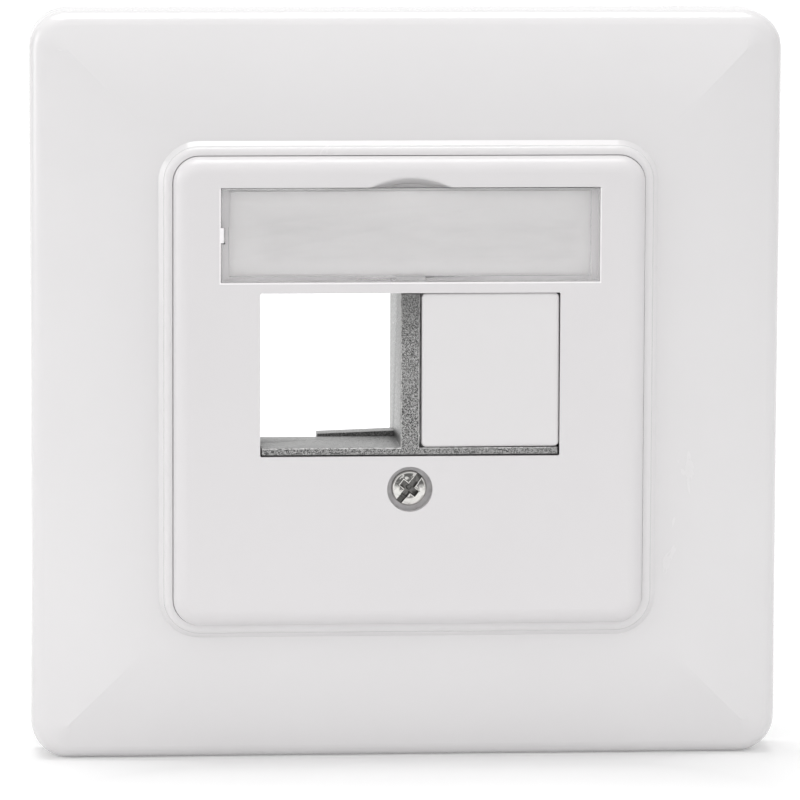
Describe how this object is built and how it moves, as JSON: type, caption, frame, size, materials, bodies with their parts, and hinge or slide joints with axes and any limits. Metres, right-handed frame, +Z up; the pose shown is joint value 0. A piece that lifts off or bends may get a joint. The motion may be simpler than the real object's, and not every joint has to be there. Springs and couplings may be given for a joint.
{
  "type": "keystone faceplate",
  "caption": "Square flush-mounted faceplate with a crowned cover frame, label window and keystone ports in a die-cast bracket, one port closed by a blank.",
  "frame": {"origin": "middle of the fixing pattern, on the wall plane behind the bracket's ring plate", "axes": "+Z up the wall, +X to the right as seen from the room, +Y into the wall, so the front faces -Y"},
  "size_m": [0.08, 0.0158, 0.08],
  "materials": {
    "frame_plastic": "polished white moulding",
    "plate_plastic": "satin white moulding",
    "blank_plastic": "satin white moulding",
    "clear_plastic": "clear polished polycarbonate",
    "label_paper": "matt white paper",
    "zinc_casting": "bare zinc die-casting, fine sand texture",
    "plated_steel": "bright nickel-plated steel"
  },
  "bodies": {
    "housing": {"support_bracket": "zinc_casting", "cover_frame": "frame_plastic", "centre_plate": "plate_plastic", "label_strip": "label_paper"},
    "window": {"label_window": "clear_plastic"},
    "blank": {"blank_insert": "blank_plastic"},
    "screw": {"centre_screw": "plated_steel"}
  },
  "joints": [
    {"name": "window_pull", "type": "slide", "parent": "housing", "child": "window", "axis": [0, -1, 0], "range_m": [0, 0.012]},
    {"name": "blank_pull", "type": "slide", "parent": "housing", "child": "blank", "axis": [0, -1, 0], "range_m": [0, 0.016]},
    {"name": "screw_turn", "type": "hinge", "parent": "housing", "child": "screw", "pos_m": [0, 0, -0.0103], "axis": [0, -1, 0], "continuous": true}
  ]
}
